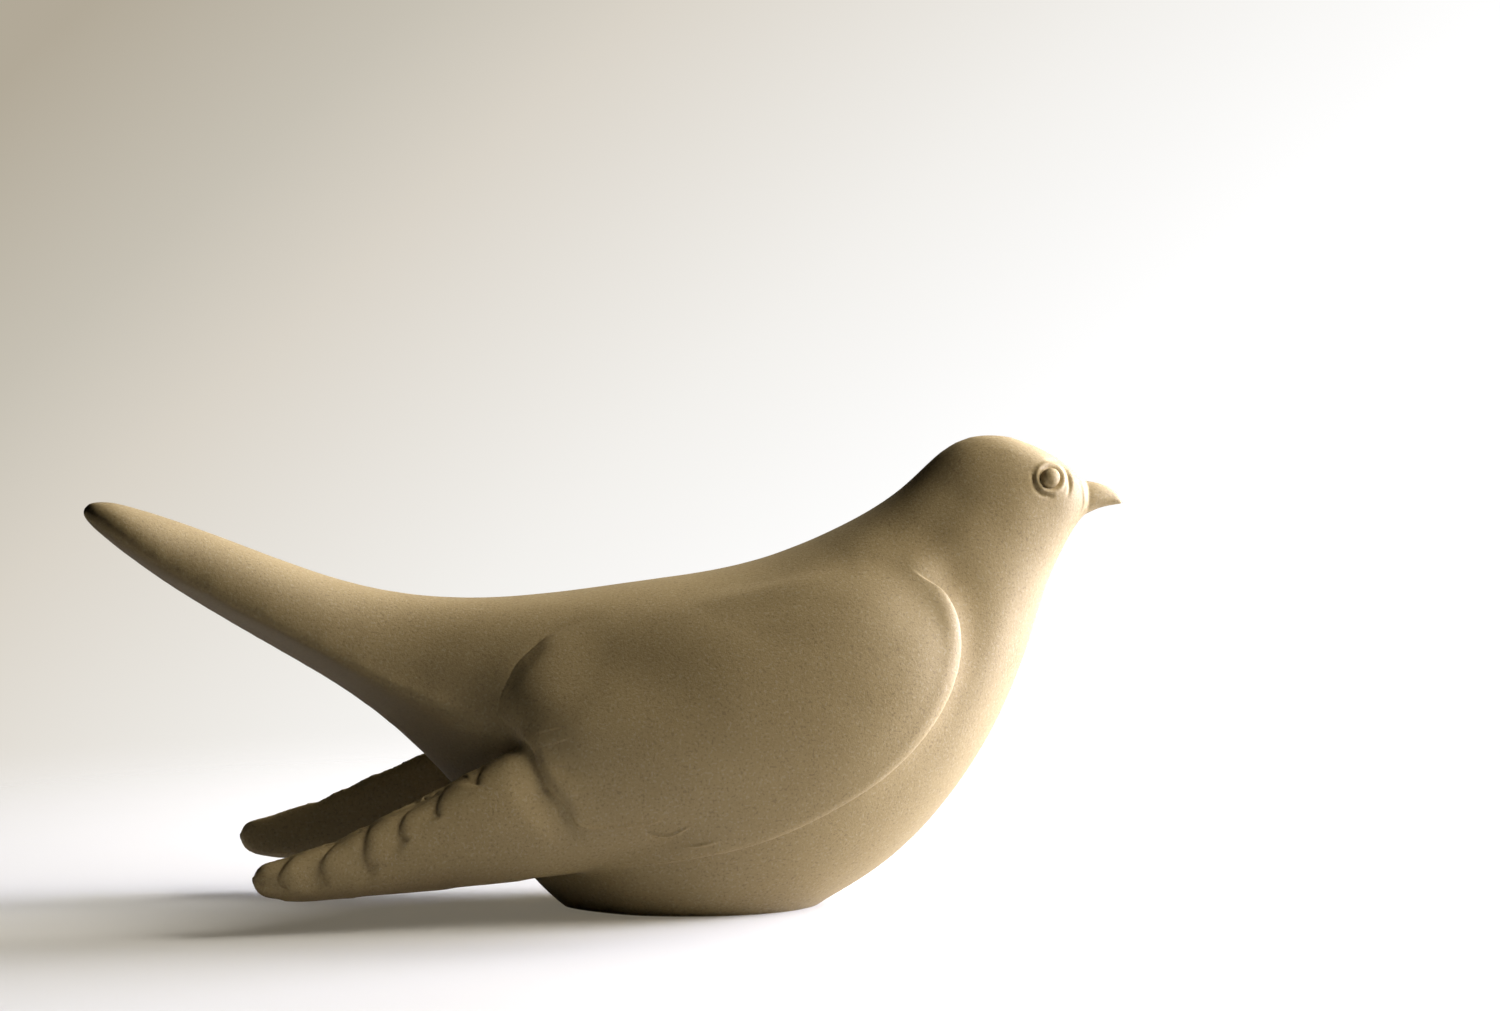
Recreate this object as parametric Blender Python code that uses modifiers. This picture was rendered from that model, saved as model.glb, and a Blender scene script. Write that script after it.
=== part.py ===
import bpy
import bmesh
import numpy as np

# Cuckoo carved from one block of sandstone, resting on the flat cut under its belly.
# X runs forward to the beak, Y to the bird's left, Z up from the floor.
# The origin is the middle of the flat cut.

# Sizes in metres
BIRD_LENGTH = 0.522            # tail tip to beak tip
BLADE_TIP_THICKNESS = 0.013    # free wing blade near its tip
BLADE_ROOT_THICKNESS = 0.024   # free wing blade where it leaves the body
LIP_HEIGHT = 0.0062            # leading edge of the wing above the breast, at the shoulder
FEATHER_DROP = 0.0026          # hooked feather tips along the blade
SECONDARY_DROP = 0.0030        # stepped ends of the inner feathers
CREASE_DEPTH = 0.0020          # crease between the wing's lobe and the rump
EYEBALL_DIAMETER = 0.0108
EYE_RING_WIDTH = 0.0026
TRIANGLES = 9700               # facets of the finished solid

# The free form is given in thousandths of the length
SHARE = BIRD_LENGTH / 1000
GRID = 3.2 * SHARE             # spacing of the carved skin before it is thinned out

# Outline in the middle plane (X, Z)
TOP_LINE = [(-575.5, 384), (-568, 391.5), (-555, 393.5), (-527, 388), (-415, 347.5), (-302, 309), (-188, 297.5),
            (-44, 311), (72, 330.5), (159, 365.5), (189, 382.5), (218, 405), (262, 443), (291, 450.5), (335, 439.5),
            (368, 421), (385.5, 405.5), (393.5, 394), (397, 385)]
UNDER_LINE = [(-575.5, 384), (-571.5, 378.5), (-554, 361), (-528, 339.5), (-397, 253.5), (-284, 177.5), (-240, 134),
              (-176, 61), (-122, 2), (-76, -23), (0, -38), (76, -25), (134, 2.5), (191, 37.5), (249, 95),
              (298, 172), (331, 249.5), (351, 307.5), (382.5, 365.5), (397, 385)]

# Half-width of each cross-section, and the height at which it is widest (X, value)
HALF_WIDTH = [(-575.5, 0), (-572, 9), (-556, 24), (-527, 37), (-440, 53), (-340, 62), (-246, 80), (-176, 106),
              (-134, 121), (-77, 135), (0, 147), (77, 147), (153, 138), (211, 119), (249, 100), (287, 79),
              (316, 62), (345, 49), (364, 41), (380, 29), (391, 16), (397, 0)]
WIDEST_AT = [(-575.5, 384), (-556, 372), (-471, 319), (-358, 261), (-270, 211), (-163, 177), (-77, 163), (0, 155),
             (77, 158), (153, 178), (211, 203), (249, 220), (287, 266), (316, 322), (345, 366), (364, 383),
             (397, 385)]
# Roundness of the cross-section above and below its widest height: 1 is a straight facet, 2 an ellipse
ROUND_ABOVE = [(-574, 2), (-460, 2), (-190, 2.1), (100, 2.2), (190, 2.0), (240, 1.75), (290, 1.85), (340, 2.5),
               (397, 2.3)]
ROUND_BELOW = [(-574, 2), (-540, 1.6), (-460, 1.15), (-200, 1.12), (-130, 1.5), (-60, 1.95), (397, 2)]

# Wing blade, lower and upper edge, and the rounded lobe over its root (X, Z)
BLADE_LOWER = [(-421, 54), (-419, 45), (-413, 38), (-398, 33), (-350, 31), (-240, 36), (-153, 42), (-61, 50),
               (-10, 62), (60, 100), (110, 150)]
BLADE_UPPER = [(-421, 54), (-416, 64), (-400, 71), (-337, 93), (-266, 126), (-212, 152), (-163, 176), (-110, 200),
               (-40, 215), (40, 205), (110, 160)]
LOBE_LOWER = [(-186, 205), (-184, 194), (-178, 185), (-160, 174), (-120, 145), (-50, 130), (30, 170)]
LOBE_UPPER = [(-186, 205), (-183, 213), (-177, 223), (-167, 235), (-150, 247), (-120, 260), (-90, 267), (-40, 266),
              (30, 220)]
# Outer skin of the wing: an arc with this reach, centre height and half-height (X, value)
SKIN_REACH = [(-421, 163), (-300, 162), (-190, 159), (-77, 155), (0, 151), (77, 145), (110, 139)]
SKIN_CENTRE = [(-421, 58), (-300, 80), (-163, 119), (0, 153), (110, 160)]
SKIN_HEIGHT = [(-421, 115), (-300, 122), (-163, 146), (-77, 149), (0, 153), (110, 165)]

# Carved lines on the wing, each from its upper end down (X, Z)
WING_TOP = [(-260, 310), (-130, 318), (0, 338), (100, 348), (165, 343), (200, 331)]
WING_FRONT = [(216, 319), (228, 312), (240, 296), (246, 274), (245.5, 251), (238.5, 225), (212, 178.5),
              (166, 133.5), (118, 104.5), (62, 80), (15, 67), (-23, 59.5), (-61, 53.5), (-120, 47)]
LOBE_CREASE = [(-134, 250), (-150, 241.5), (-165, 234), (-172.5, 225), (-177, 216), (-183.5, 208), (-188, 200),
               (-191, 190)]
SECONDARY_ENDS = [(-172, 182), (-166, 174.5), (-160.5, 167), (-157, 156.5), (-152, 145), (-147.5, 134),
                  (-141.5, 127), (-135, 121), (-130.5, 113), (-126.5, 105), (-121, 98), (-109, 94), (-94.5, 94),
                  (-80.5, 95.5), (-66.5, 97), (-52.5, 99.5), (-38.5, 106)]
SMALL_ENDS = [[(-60, 92), (-52, 88.5), (-42.5, 86.5), (-33, 86.5), (-19, 93), (-9, 98)],
              [(-20, 76), (-11, 75), (-2.5, 76), (6.5, 78), (16, 81)]]
HOOKS = [[(-376, 82), (-391, 70), (-396, 61.5), (-398, 53), (-395, 47.5), (-387, 44)],
         [(-322, 102), (-342.5, 88.5), (-352.5, 79.5), (-358.5, 70), (-359, 61), (-355.5, 53.5), (-348, 47)],
         [(-284, 119), (-307.5, 107), (-315, 98), (-318, 86), (-318.5, 75), (-315, 67.5), (-304, 62)],
         [(-248, 134), (-272, 118.5), (-281.5, 111), (-285.5, 101.5), (-285, 93.5), (-277, 86)],
         [(-222, 148), (-243.5, 133), (-249.5, 125), (-251.5, 116.5), (-248, 107)],
         [(-192, 165), (-208.5, 151), (-212.5, 143.5), (-213.5, 135)]]

# Head
EYE = (348, 409)
BROW = [(330, 428), (345, 432), (362, 425), (372, 411), (370, 396)]
BEAK_TOP = [(365, 405), (387.5, 403.5), (400, 401.5), (411, 397.5), (418.5, 392.5), (424, 386.5), (426.5, 381)]
BEAK_UNDER = [(365, 362), (389, 371), (400.5, 376), (415, 379.5), (426.5, 381)]
BEAK_HALF_WIDTH = [(365, 18), (388, 17), (402, 13), (415, 8), (423, 4), (426.5, 0)]
BEAK_WIDEST = 0.42             # widest height, as a share of the beak's height there
BEAK_ROUND = (1.7, 2.0)        # roundness above and below it


def smooth_line(points, steps=16):
    """Natural cubic through the points, as a dense polyline in metres."""
    p = np.array(points, float) * SHARE
    t = np.concatenate([[0], np.cumsum(np.linalg.norm(np.diff(p, axis=0), axis=1))])
    h = np.diff(t)
    count = len(p)
    system = np.eye(count)
    right = np.zeros_like(p)
    for i in range(1, count - 1):
        system[i, i - 1:i + 2] = h[i - 1], 2 * (h[i - 1] + h[i]), h[i]
        right[i] = 6 * ((p[i + 1] - p[i]) / h[i] - (p[i] - p[i - 1]) / h[i - 1])
    bend = np.linalg.solve(system, right)
    line = [p[:1]]
    for i in range(count - 1):
        u = np.linspace(0, 1, steps + 1)[1:, None]
        v = 1 - u
        line.append(v * p[i] + u * p[i + 1]
                    + h[i] ** 2 / 6 * ((v ** 3 - v) * bend[i] + (u ** 3 - u) * bend[i + 1]))
    return np.concatenate(line)


def along(points, x):
    """Value of a line of (X, value) pairs at x."""
    line = smooth_line(points)
    return np.interp(x, line[:, 0], line[:, 1])


def ramp(value, low, high):
    """0 below low, 1 above high, eased between."""
    u = np.clip((value - low) / (high - low), 0, 1)
    return u * u * (3 - 2 * u)


def power(value, exponent):
    """Signed power, for superelliptic rings."""
    return np.sign(value) * np.abs(value) ** exponent


def stations(start, end, count):
    """Places along X, closest together at both rounded ends."""
    return start + (end - start) * (1 - np.cos(np.linspace(0.02, np.pi - 0.02, count))) / 2


def upright_rings(x, top, under, widest, half_width, above, below, around=64):
    """Cross-sections in planes of constant X, superelliptic above and below their widest height."""
    angle = np.linspace(0, 2 * np.pi, around, endpoint=False)[None, :]
    top, under, widest, half_width, above, below = (v[:, None] for v in (top, under, widest, half_width, above, below))
    upper = np.sin(angle) >= 0
    roundness = np.where(upper, above, below)
    y = half_width * power(np.cos(angle), 2 / roundness)
    z = widest + np.where(upper, top - widest, widest - under) * power(np.sin(angle), 2 / roundness)
    return np.stack([np.broadcast_to(x[:, None], y.shape), y, z], axis=-1)


def body_rings():
    x = stations(TOP_LINE[0][0] * SHARE, TOP_LINE[-1][0] * SHARE, 120)
    bare = [np.interp(x / SHARE, *np.array(r).T) for r in (ROUND_ABOVE, ROUND_BELOW)]
    return upright_rings(x, along(TOP_LINE, x), along(UNDER_LINE, x), along(WIDEST_AT, x),
                         np.maximum(along(HALF_WIDTH, x), 0), *bare)


def beak_rings():
    x = stations(BEAK_TOP[0][0] * SHARE, BEAK_TOP[-1][0] * SHARE, 40)
    top, under = along(BEAK_TOP, x), along(BEAK_UNDER, x)
    widest = under + BEAK_WIDEST * (top - under)
    return upright_rings(x, top, under, widest, np.maximum(along(BEAK_HALF_WIDTH, x), 0),
                         *(np.full_like(x, value) for value in BEAK_ROUND), around=32)


def wing_skin(x, z):
    """Outer half-width of the wing at a place on it."""
    rise = (z - along(SKIN_CENTRE, x)) / along(SKIN_HEIGHT, x)
    return along(SKIN_REACH, x) * np.sqrt(np.maximum(1 - rise ** 2, 0.05))


def skin_rings(x, low, high, thick, sink, roundness, side):
    """Cross-sections of a slab between two edges, its middle sunk under the wing's skin."""
    angle = np.linspace(0, 2 * np.pi, 56, endpoint=False)[None, :]
    low, high, thick, sink = low[:, None], high[:, None], thick[:, None], sink[:, None]
    z = (low + high) / 2 + (high - low) / 2 * power(np.sin(angle), 2 / roundness)
    x = np.broadcast_to(x[:, None], z.shape)
    y = wing_skin(x, z) - sink + thick / 2 * power(np.cos(angle), 2 / roundness)
    return np.stack([x, side * y, z], axis=-1)


def blade_rings(side):
    """The free blade from its tip to where it is buried in the body."""
    x = stations(BLADE_LOWER[0][0] * SHARE, BLADE_LOWER[-1][0] * SHARE, 110)
    root = LOBE_UPPER[0][0] * SHARE
    thick = BLADE_TIP_THICKNESS + (BLADE_ROOT_THICKNESS - BLADE_TIP_THICKNESS) * ramp(x, x[0], root)
    thick += 95 * SHARE * ramp(x, root + 10 * SHARE, 0)
    tip = np.sqrt(1 - (1 - np.clip((x - x[0]) / (22 * SHARE), 0, 1)) ** 2)
    return skin_rings(x, along(BLADE_LOWER, x), along(BLADE_UPPER, x), thick * (0.1 + 0.9 * tip), thick / 2, 2.6, side)


def lobe_rings(side):
    """The lobe that overhangs the blade's root, buried in the rump on its inner side."""
    x = stations(LOBE_LOWER[0][0] * SHARE, LOBE_LOWER[-1][0] * SHARE, 60)
    end = np.sqrt(1 - (1 - np.clip((x - x[0]) / (60 * SHARE), 0, 1)) ** 2)
    sink = (35 + 5 * ramp(x, x[0] + 60 * SHARE, 0)) * SHARE
    return skin_rings(x, along(LOBE_LOWER, x), along(LOBE_UPPER, x), 80 * SHARE * (0.4 + 0.6 * end), sink, 2.8, side)


def add_loft(mesh, rings):
    """Closed skin through the rings, with a point at each end."""
    count, around = rings.shape[:2]
    verts = [[mesh.verts.new(p) for p in ring] for ring in rings]
    faces = []
    for i in range(count - 1):
        for j in range(around):
            k = (j + 1) % around
            faces.append(mesh.faces.new((verts[i][j], verts[i][k], verts[i + 1][k], verts[i + 1][j])))
    for ring, order in ((verts[0], -1), (verts[-1], 1)):
        middle = mesh.verts.new(np.mean([v.co for v in ring], axis=0))
        for j in range(around):
            faces.append(mesh.faces.new((ring[j], ring[(j + 1) % around], middle)[::order]))
    bmesh.ops.recalc_face_normals(mesh, faces=faces)


def place(points, line):
    """Signed distance of (X, Z) points from a line, positive to its right, and the share of its length passed."""
    start, run = line[:-1], np.diff(line, axis=0)
    length = np.linalg.norm(run, axis=1)
    passed = np.concatenate([[0], np.cumsum(length)])
    offset = points[:, None] - start[None]
    u = np.clip((offset * run).sum(-1) / length ** 2, 0, 1)
    gap = offset - u[..., None] * run
    distance = np.linalg.norm(gap, axis=-1)
    best = distance.argmin(axis=1)
    row = np.arange(len(points))
    cross = run[best, 0] * offset[row, best, 1] - run[best, 1] * offset[row, best, 0]
    share = (passed[best] + u[row, best] * length[best]) / passed[-1]
    return -np.sign(cross) * distance[row, best], share


def evaluated(obj):
    """Plain mesh object with the modifiers of obj made real."""
    graph = bpy.context.evaluated_depsgraph_get()
    mesh = bpy.data.meshes.new_from_object(obj.evaluated_get(graph))
    old = obj.data
    obj.modifiers.clear()
    obj.data = mesh
    bpy.data.meshes.remove(old)
    return obj


def weigh(obj, name, weights):
    """Vertex group with a weight for each point."""
    group = obj.vertex_groups.new(name=name)
    for index in np.flatnonzero(weights > 0):
        group.add((int(index),), float(weights[index]), "REPLACE")
    return group.name


def shape_beak(points):
    """Bring the softened beak back to its full length and to the cross-sections of its rings."""
    root, tip = 385 * SHARE, BEAK_TOP[-1][0] * SHARE
    x = points[:, 0]
    near = x > root
    x = root + (x[near] - root) * (tip - root) / (x.max() - root)
    top, under = along(BEAK_TOP, x), along(BEAK_UNDER, x)
    widest = under + BEAK_WIDEST * (top - under)
    y, z = points[near, 1], points[near, 2] - widest
    tall = np.maximum(np.where(z > 0, top - widest, widest - under), 0.1 * SHARE)
    wide = np.maximum(along(BEAK_HALF_WIDTH, x), 0.1 * SHARE)
    roundness = np.where(z > 0, *BEAK_ROUND)
    size = (np.abs(y / wide) ** roundness + np.abs(z / tall) ** roundness) ** (1 / roundness)
    fit = 1 + ramp(x, root, root + 7 * SHARE) * (1 / np.maximum(size, 0.05) - 1)
    points[near] = np.stack([x, y * fit, widest + z * fit], axis=1)


def carve(mesh):
    """Move the skin's points for the wing's lip, the feather ends and the eye."""
    points = np.empty(len(mesh.vertices) * 3, np.float32)
    mesh.vertices.foreach_get("co", points)
    points = points.reshape(-1, 3).astype(float)
    normals = np.empty(len(mesh.vertices) * 3, np.float32)
    mesh.vertex_normals.foreach_get("vector", normals)
    normals = normals.reshape(-1, 3).astype(float)
    flat = points[:, [0, 2]]
    side = np.where(points[:, 1] < 0, -1.0, 1.0)
    outward = ramp(normals[:, 1] * side, -0.5, 0.1) * ramp(np.abs(points[:, 1]), 0, 40 * SHARE)
    height = np.zeros(len(points))

    def drop(line, depth, reach, fade=0.25, back=1.0):
        """Cut the stone down on the right of a line, easing out again over the reach."""
        near = np.abs(flat - line.mean(axis=0)).max(axis=1) < np.ptp(line, axis=0).max() + reach
        gap, share = place(flat[near], line)
        gap = gap * back
        cut = ramp(gap, -0.5 * GRID, 0.7 * GRID) * (1 - ramp(gap, 0.7 * GRID, reach))
        ends = ramp(share, 0, fade) * ramp(1 - share, 0, fade)
        height[near] -= depth * cut * ends * outward[near]

    gap = place(flat, smooth_line(WING_TOP + WING_FRONT))[0]
    from_top = np.abs(place(flat, smooth_line(WING_TOP))[0])
    behind = np.abs(place(flat, smooth_line(WING_FRONT))[0])
    lip = LIP_HEIGHT * (0.5 + 0.5 * ramp(flat[:, 1], 50 * SHARE, 230 * SHARE))
    lip *= ramp(from_top, 0, 60 * SHARE) * ramp(flat[:, 0], -120 * SHARE, 0)
    raised = ramp(gap, -0.0010, 0.0030) * (1 - ramp(behind, 70 * SHARE, 300 * SHARE))
    groove = ramp(gap, -0.010, -0.0010) * (1 - ramp(gap, -0.0010, 0.0010))
    height += lip * (raised - 0.25 * groove) * ramp(normals[:, 1] * side, 0.25, 0.7)

    drop(smooth_line(LOBE_CREASE), CREASE_DEPTH, 14 * SHARE, 0.12)
    drop(smooth_line(SECONDARY_ENDS), SECONDARY_DROP, 34 * SHARE, 0.12)
    for end in SMALL_ENDS:
        drop(smooth_line(end), SECONDARY_DROP / 2, 20 * SHARE)
    for hook in HOOKS:
        drop(smooth_line(hook), FEATHER_DROP, 34 * SHARE, 0.12)
    drop(smooth_line(BROW), SECONDARY_DROP / 2, 14 * SHARE, back=-1.0)

    eye = np.array(EYE) * SHARE
    reach = np.linalg.norm(flat - eye, axis=1)
    ball = EYEBALL_DIAMETER / 2
    dome = np.sqrt(np.maximum(ball ** 2 - reach ** 2, 0)) * 0.7
    ring = ramp(reach, ball, ball + EYE_RING_WIDTH / 2) * (1 - ramp(reach, ball + EYE_RING_WIDTH / 2,
                                                                   ball + EYE_RING_WIDTH * 1.4))
    height += (dome + 0.6 * EYE_RING_WIDTH * ring) * outward

    points += normals * height[:, None]
    shape_beak(points)
    mesh.vertices.foreach_set("co", points.astype(np.float32).ravel())
    mesh.update()
    detail = np.exp(-(np.maximum(reach - 2 * ball, 0) / (10 * SHARE)) ** 2)
    return np.maximum(detail, ramp(points[:, 0], 380 * SHARE, 395 * SHARE))


for old in list(bpy.data.objects):
    bpy.data.objects.remove(old, do_unlink=True)

figure = bpy.data.collections.new("cuckoo_sculpture")
cutters = bpy.data.collections.new("cutters")
bpy.context.scene.collection.children.link(figure)
bpy.context.scene.collection.children.link(cutters)

# Body, beak and both wings as closed skins in one mesh, fused by the voxel remesh
fused = bmesh.new()
add_loft(fused, body_rings())
add_loft(fused, beak_rings())
for wing_side in (-1, 1):
    add_loft(fused, blade_rings(wing_side))
    add_loft(fused, lobe_rings(wing_side))
stone = bpy.data.meshes.new("cuckoo")
fused.to_mesh(stone)
fused.free()
cuckoo = bpy.data.objects.new("cuckoo", stone)
figure.objects.link(cuckoo)
remesh = cuckoo.modifiers.new("fuse", "REMESH")
remesh.mode = "VOXEL"
remesh.voxel_size = GRID
soften = cuckoo.modifiers.new("soften", "SMOOTH")
soften.factor = 0.5
soften.iterations = 8
evaluated(cuckoo)

# The wing's upper part flows into the back without an edge
place_x, place_y, place_z = (np.array([v.co[i] for v in cuckoo.data.vertices]) / SHARE for i in range(3))
flow = ramp(place_x, -140, -95) * (1 - ramp(place_x, 120, 190)) * ramp(place_z, 90, 160) * ramp(abs(place_y), 10, 60)
blend = cuckoo.modifiers.new("blend", "SMOOTH")
blend.factor = 0.5
blend.iterations = 120
blend.vertex_group = weigh(cuckoo, "flow", flow)
evaluated(cuckoo)
fine = carve(cuckoo.data)

# Thin the skin out, keeping more points round the eyes
thin = cuckoo.modifiers.new("thin", "DECIMATE")
thin.decimate_type = "COLLAPSE"
thin.use_collapse_triangulate = True
thin.ratio = TRIANGLES / sum(len(p.vertices) - 2 for p in cuckoo.data.polygons)
thin.vertex_group = weigh(cuckoo, "plain", 1 - fine)
thin.vertex_group_factor = 2.0
evaluated(cuckoo)

# The belly is cut flat at floor level
bpy.ops.mesh.primitive_cube_add(size=1, location=(0, 0, -100 * SHARE))
floor = bpy.context.object
floor.name = "floor_cut"
floor.scale = (BIRD_LENGTH, BIRD_LENGTH, 200 * SHARE)
floor.hide_render = True
floor.display_type = "WIRE"
for collection in list(floor.users_collection):
    collection.objects.unlink(floor)
cutters.objects.link(floor)
cut = cuckoo.modifiers.new("floor_cut", "BOOLEAN")
cut.operation = "DIFFERENCE"
cut.solver = "EXACT"
cut.object = floor

material = bpy.data.materials.new("sandstone")
material.use_nodes = True
surface = material.node_tree.nodes["Principled BSDF"]
surface.inputs["Base Color"].default_value = (0.36, 0.29, 0.19, 1)
surface.inputs["Roughness"].default_value = 0.92
surface.inputs["Metallic"].default_value = 0.0
cuckoo.data.materials.append(material)
cuckoo.data.shade_smooth()
cuckoo.data.set_sharp_from_angle(angle=0.7)
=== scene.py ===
import math

import bpy
import numpy as np
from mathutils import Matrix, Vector


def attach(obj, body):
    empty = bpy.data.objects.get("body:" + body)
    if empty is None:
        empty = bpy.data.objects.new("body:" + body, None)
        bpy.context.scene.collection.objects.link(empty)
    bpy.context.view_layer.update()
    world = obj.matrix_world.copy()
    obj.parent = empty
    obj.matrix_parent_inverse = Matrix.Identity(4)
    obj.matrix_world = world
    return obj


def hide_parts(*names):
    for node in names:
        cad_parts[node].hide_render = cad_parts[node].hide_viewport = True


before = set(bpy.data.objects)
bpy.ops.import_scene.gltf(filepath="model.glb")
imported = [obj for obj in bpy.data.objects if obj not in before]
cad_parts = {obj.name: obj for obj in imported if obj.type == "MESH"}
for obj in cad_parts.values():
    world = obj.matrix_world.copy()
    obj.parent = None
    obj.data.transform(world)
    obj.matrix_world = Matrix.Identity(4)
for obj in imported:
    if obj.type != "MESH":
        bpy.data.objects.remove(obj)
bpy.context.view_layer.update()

# The stone, in metres unless a note says shares
stone = {
    "share": 0.000522,          # a thousandth of the bird's length, the unit of all drawn lines below
    "grid": 0.0024,             # skin spacing on plain stone
    "merge": 0.00001,           # corners of the solid nearer than this are one
    "firstRounds": 4,           # rubbing passes before the coarse carving is taken out
    "evenRounds": 40,           # passes that take the facets off
    "edgeRounds": 6,            # passes after that for thin tips and edges too
    "creaseRounds": 130,        # passes on the rump beside the lobe
    "splitReach": (0.0075, 0.0032),  # how near to a carved line the skin is split, and split again
    "splitMargin": 0.003,       # rubbed this much further out than it is split
    "splitRounds": 5,
    "inward": -0.35,            # skin that looks inward more than this isn't split
    "lastReach": 0.01,          # the carving is softened a little this near to its lines
    "lastRounds": 2,
    "lipHeight": 0.0088,        # front edge of the wing over the breast
    "lipRound": 0.0090,         # radius of that edge
    "lipBreadth": 0.028,        # how far behind it the wing still rounds over
    "lipBead": 0.47,            # part of its height in the narrow edge, and in the broad rounding
    "lipBroad": 0.53,
    "lipHollow": 0.0032,        # hollow in the neck and breast along that edge
    "lobeRise": 0.0042,         # rounded end of the wing's lobe over the rump
    "lobeSoft": 7,              # shares over which the lobe's two borders run into one
    "creaseDrop": 0.0007,       # groove between the lobe and the rump
    "secondaryDrop": 0.0028,    # stepped ends of the inner feathers
    "edgeRise": 0.0009,         # thin raised rims of the lowest inner feathers
    "rimInset": 0.0007,         # how far those rims lie behind the step, and their width
    "rimWidth": 0.0009,
    "barbDrop": 0.0004,         # thin steps between the inner feathers
    "ridgeRise": 0.0024,        # lower edge of the tail
    "featherDrop": 0.0014,      # hooked feather tips
    "faceRise": 0.0007,         # edge between face and beak
    "mouthDrop": 0.0006,
    "mouthWidth": 0.0005,
    "napeHollow": 0.0022,       # narrowing behind the cheeks
    "cheekRise": 0.0010,
    "cheekSpot": (316, 374),    # in shares, as is its size
    "cheekSize": (34, 40),
    "tailSpread": 0.20,         # width given back to the tail near its tip
    "footDepth": 0.016,         # stone left under the floor line until the flat is cut
    "footSteps": ((0.35, 0.90), (0.35, 0.86), (0.3, 0.75)),  # its parts from the top, and how they narrow
    "triangles": 190000,
}
share = stone["share"]

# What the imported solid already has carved, coarsely
rough = {
    "grid": 3.2 * share,
    "lip": 0.0062,
    "lipEdge": (-0.0010, 0.0030),
    "lipGroove": (-0.010, -0.0010, 0.0010),
    "feather": 0.0026,
    "secondary": 0.0030,
    "crease": 0.0020,
    "eyeball": 0.0108,
    "eyeRing": 0.0026,
    "fade": 0.12,
}

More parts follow.
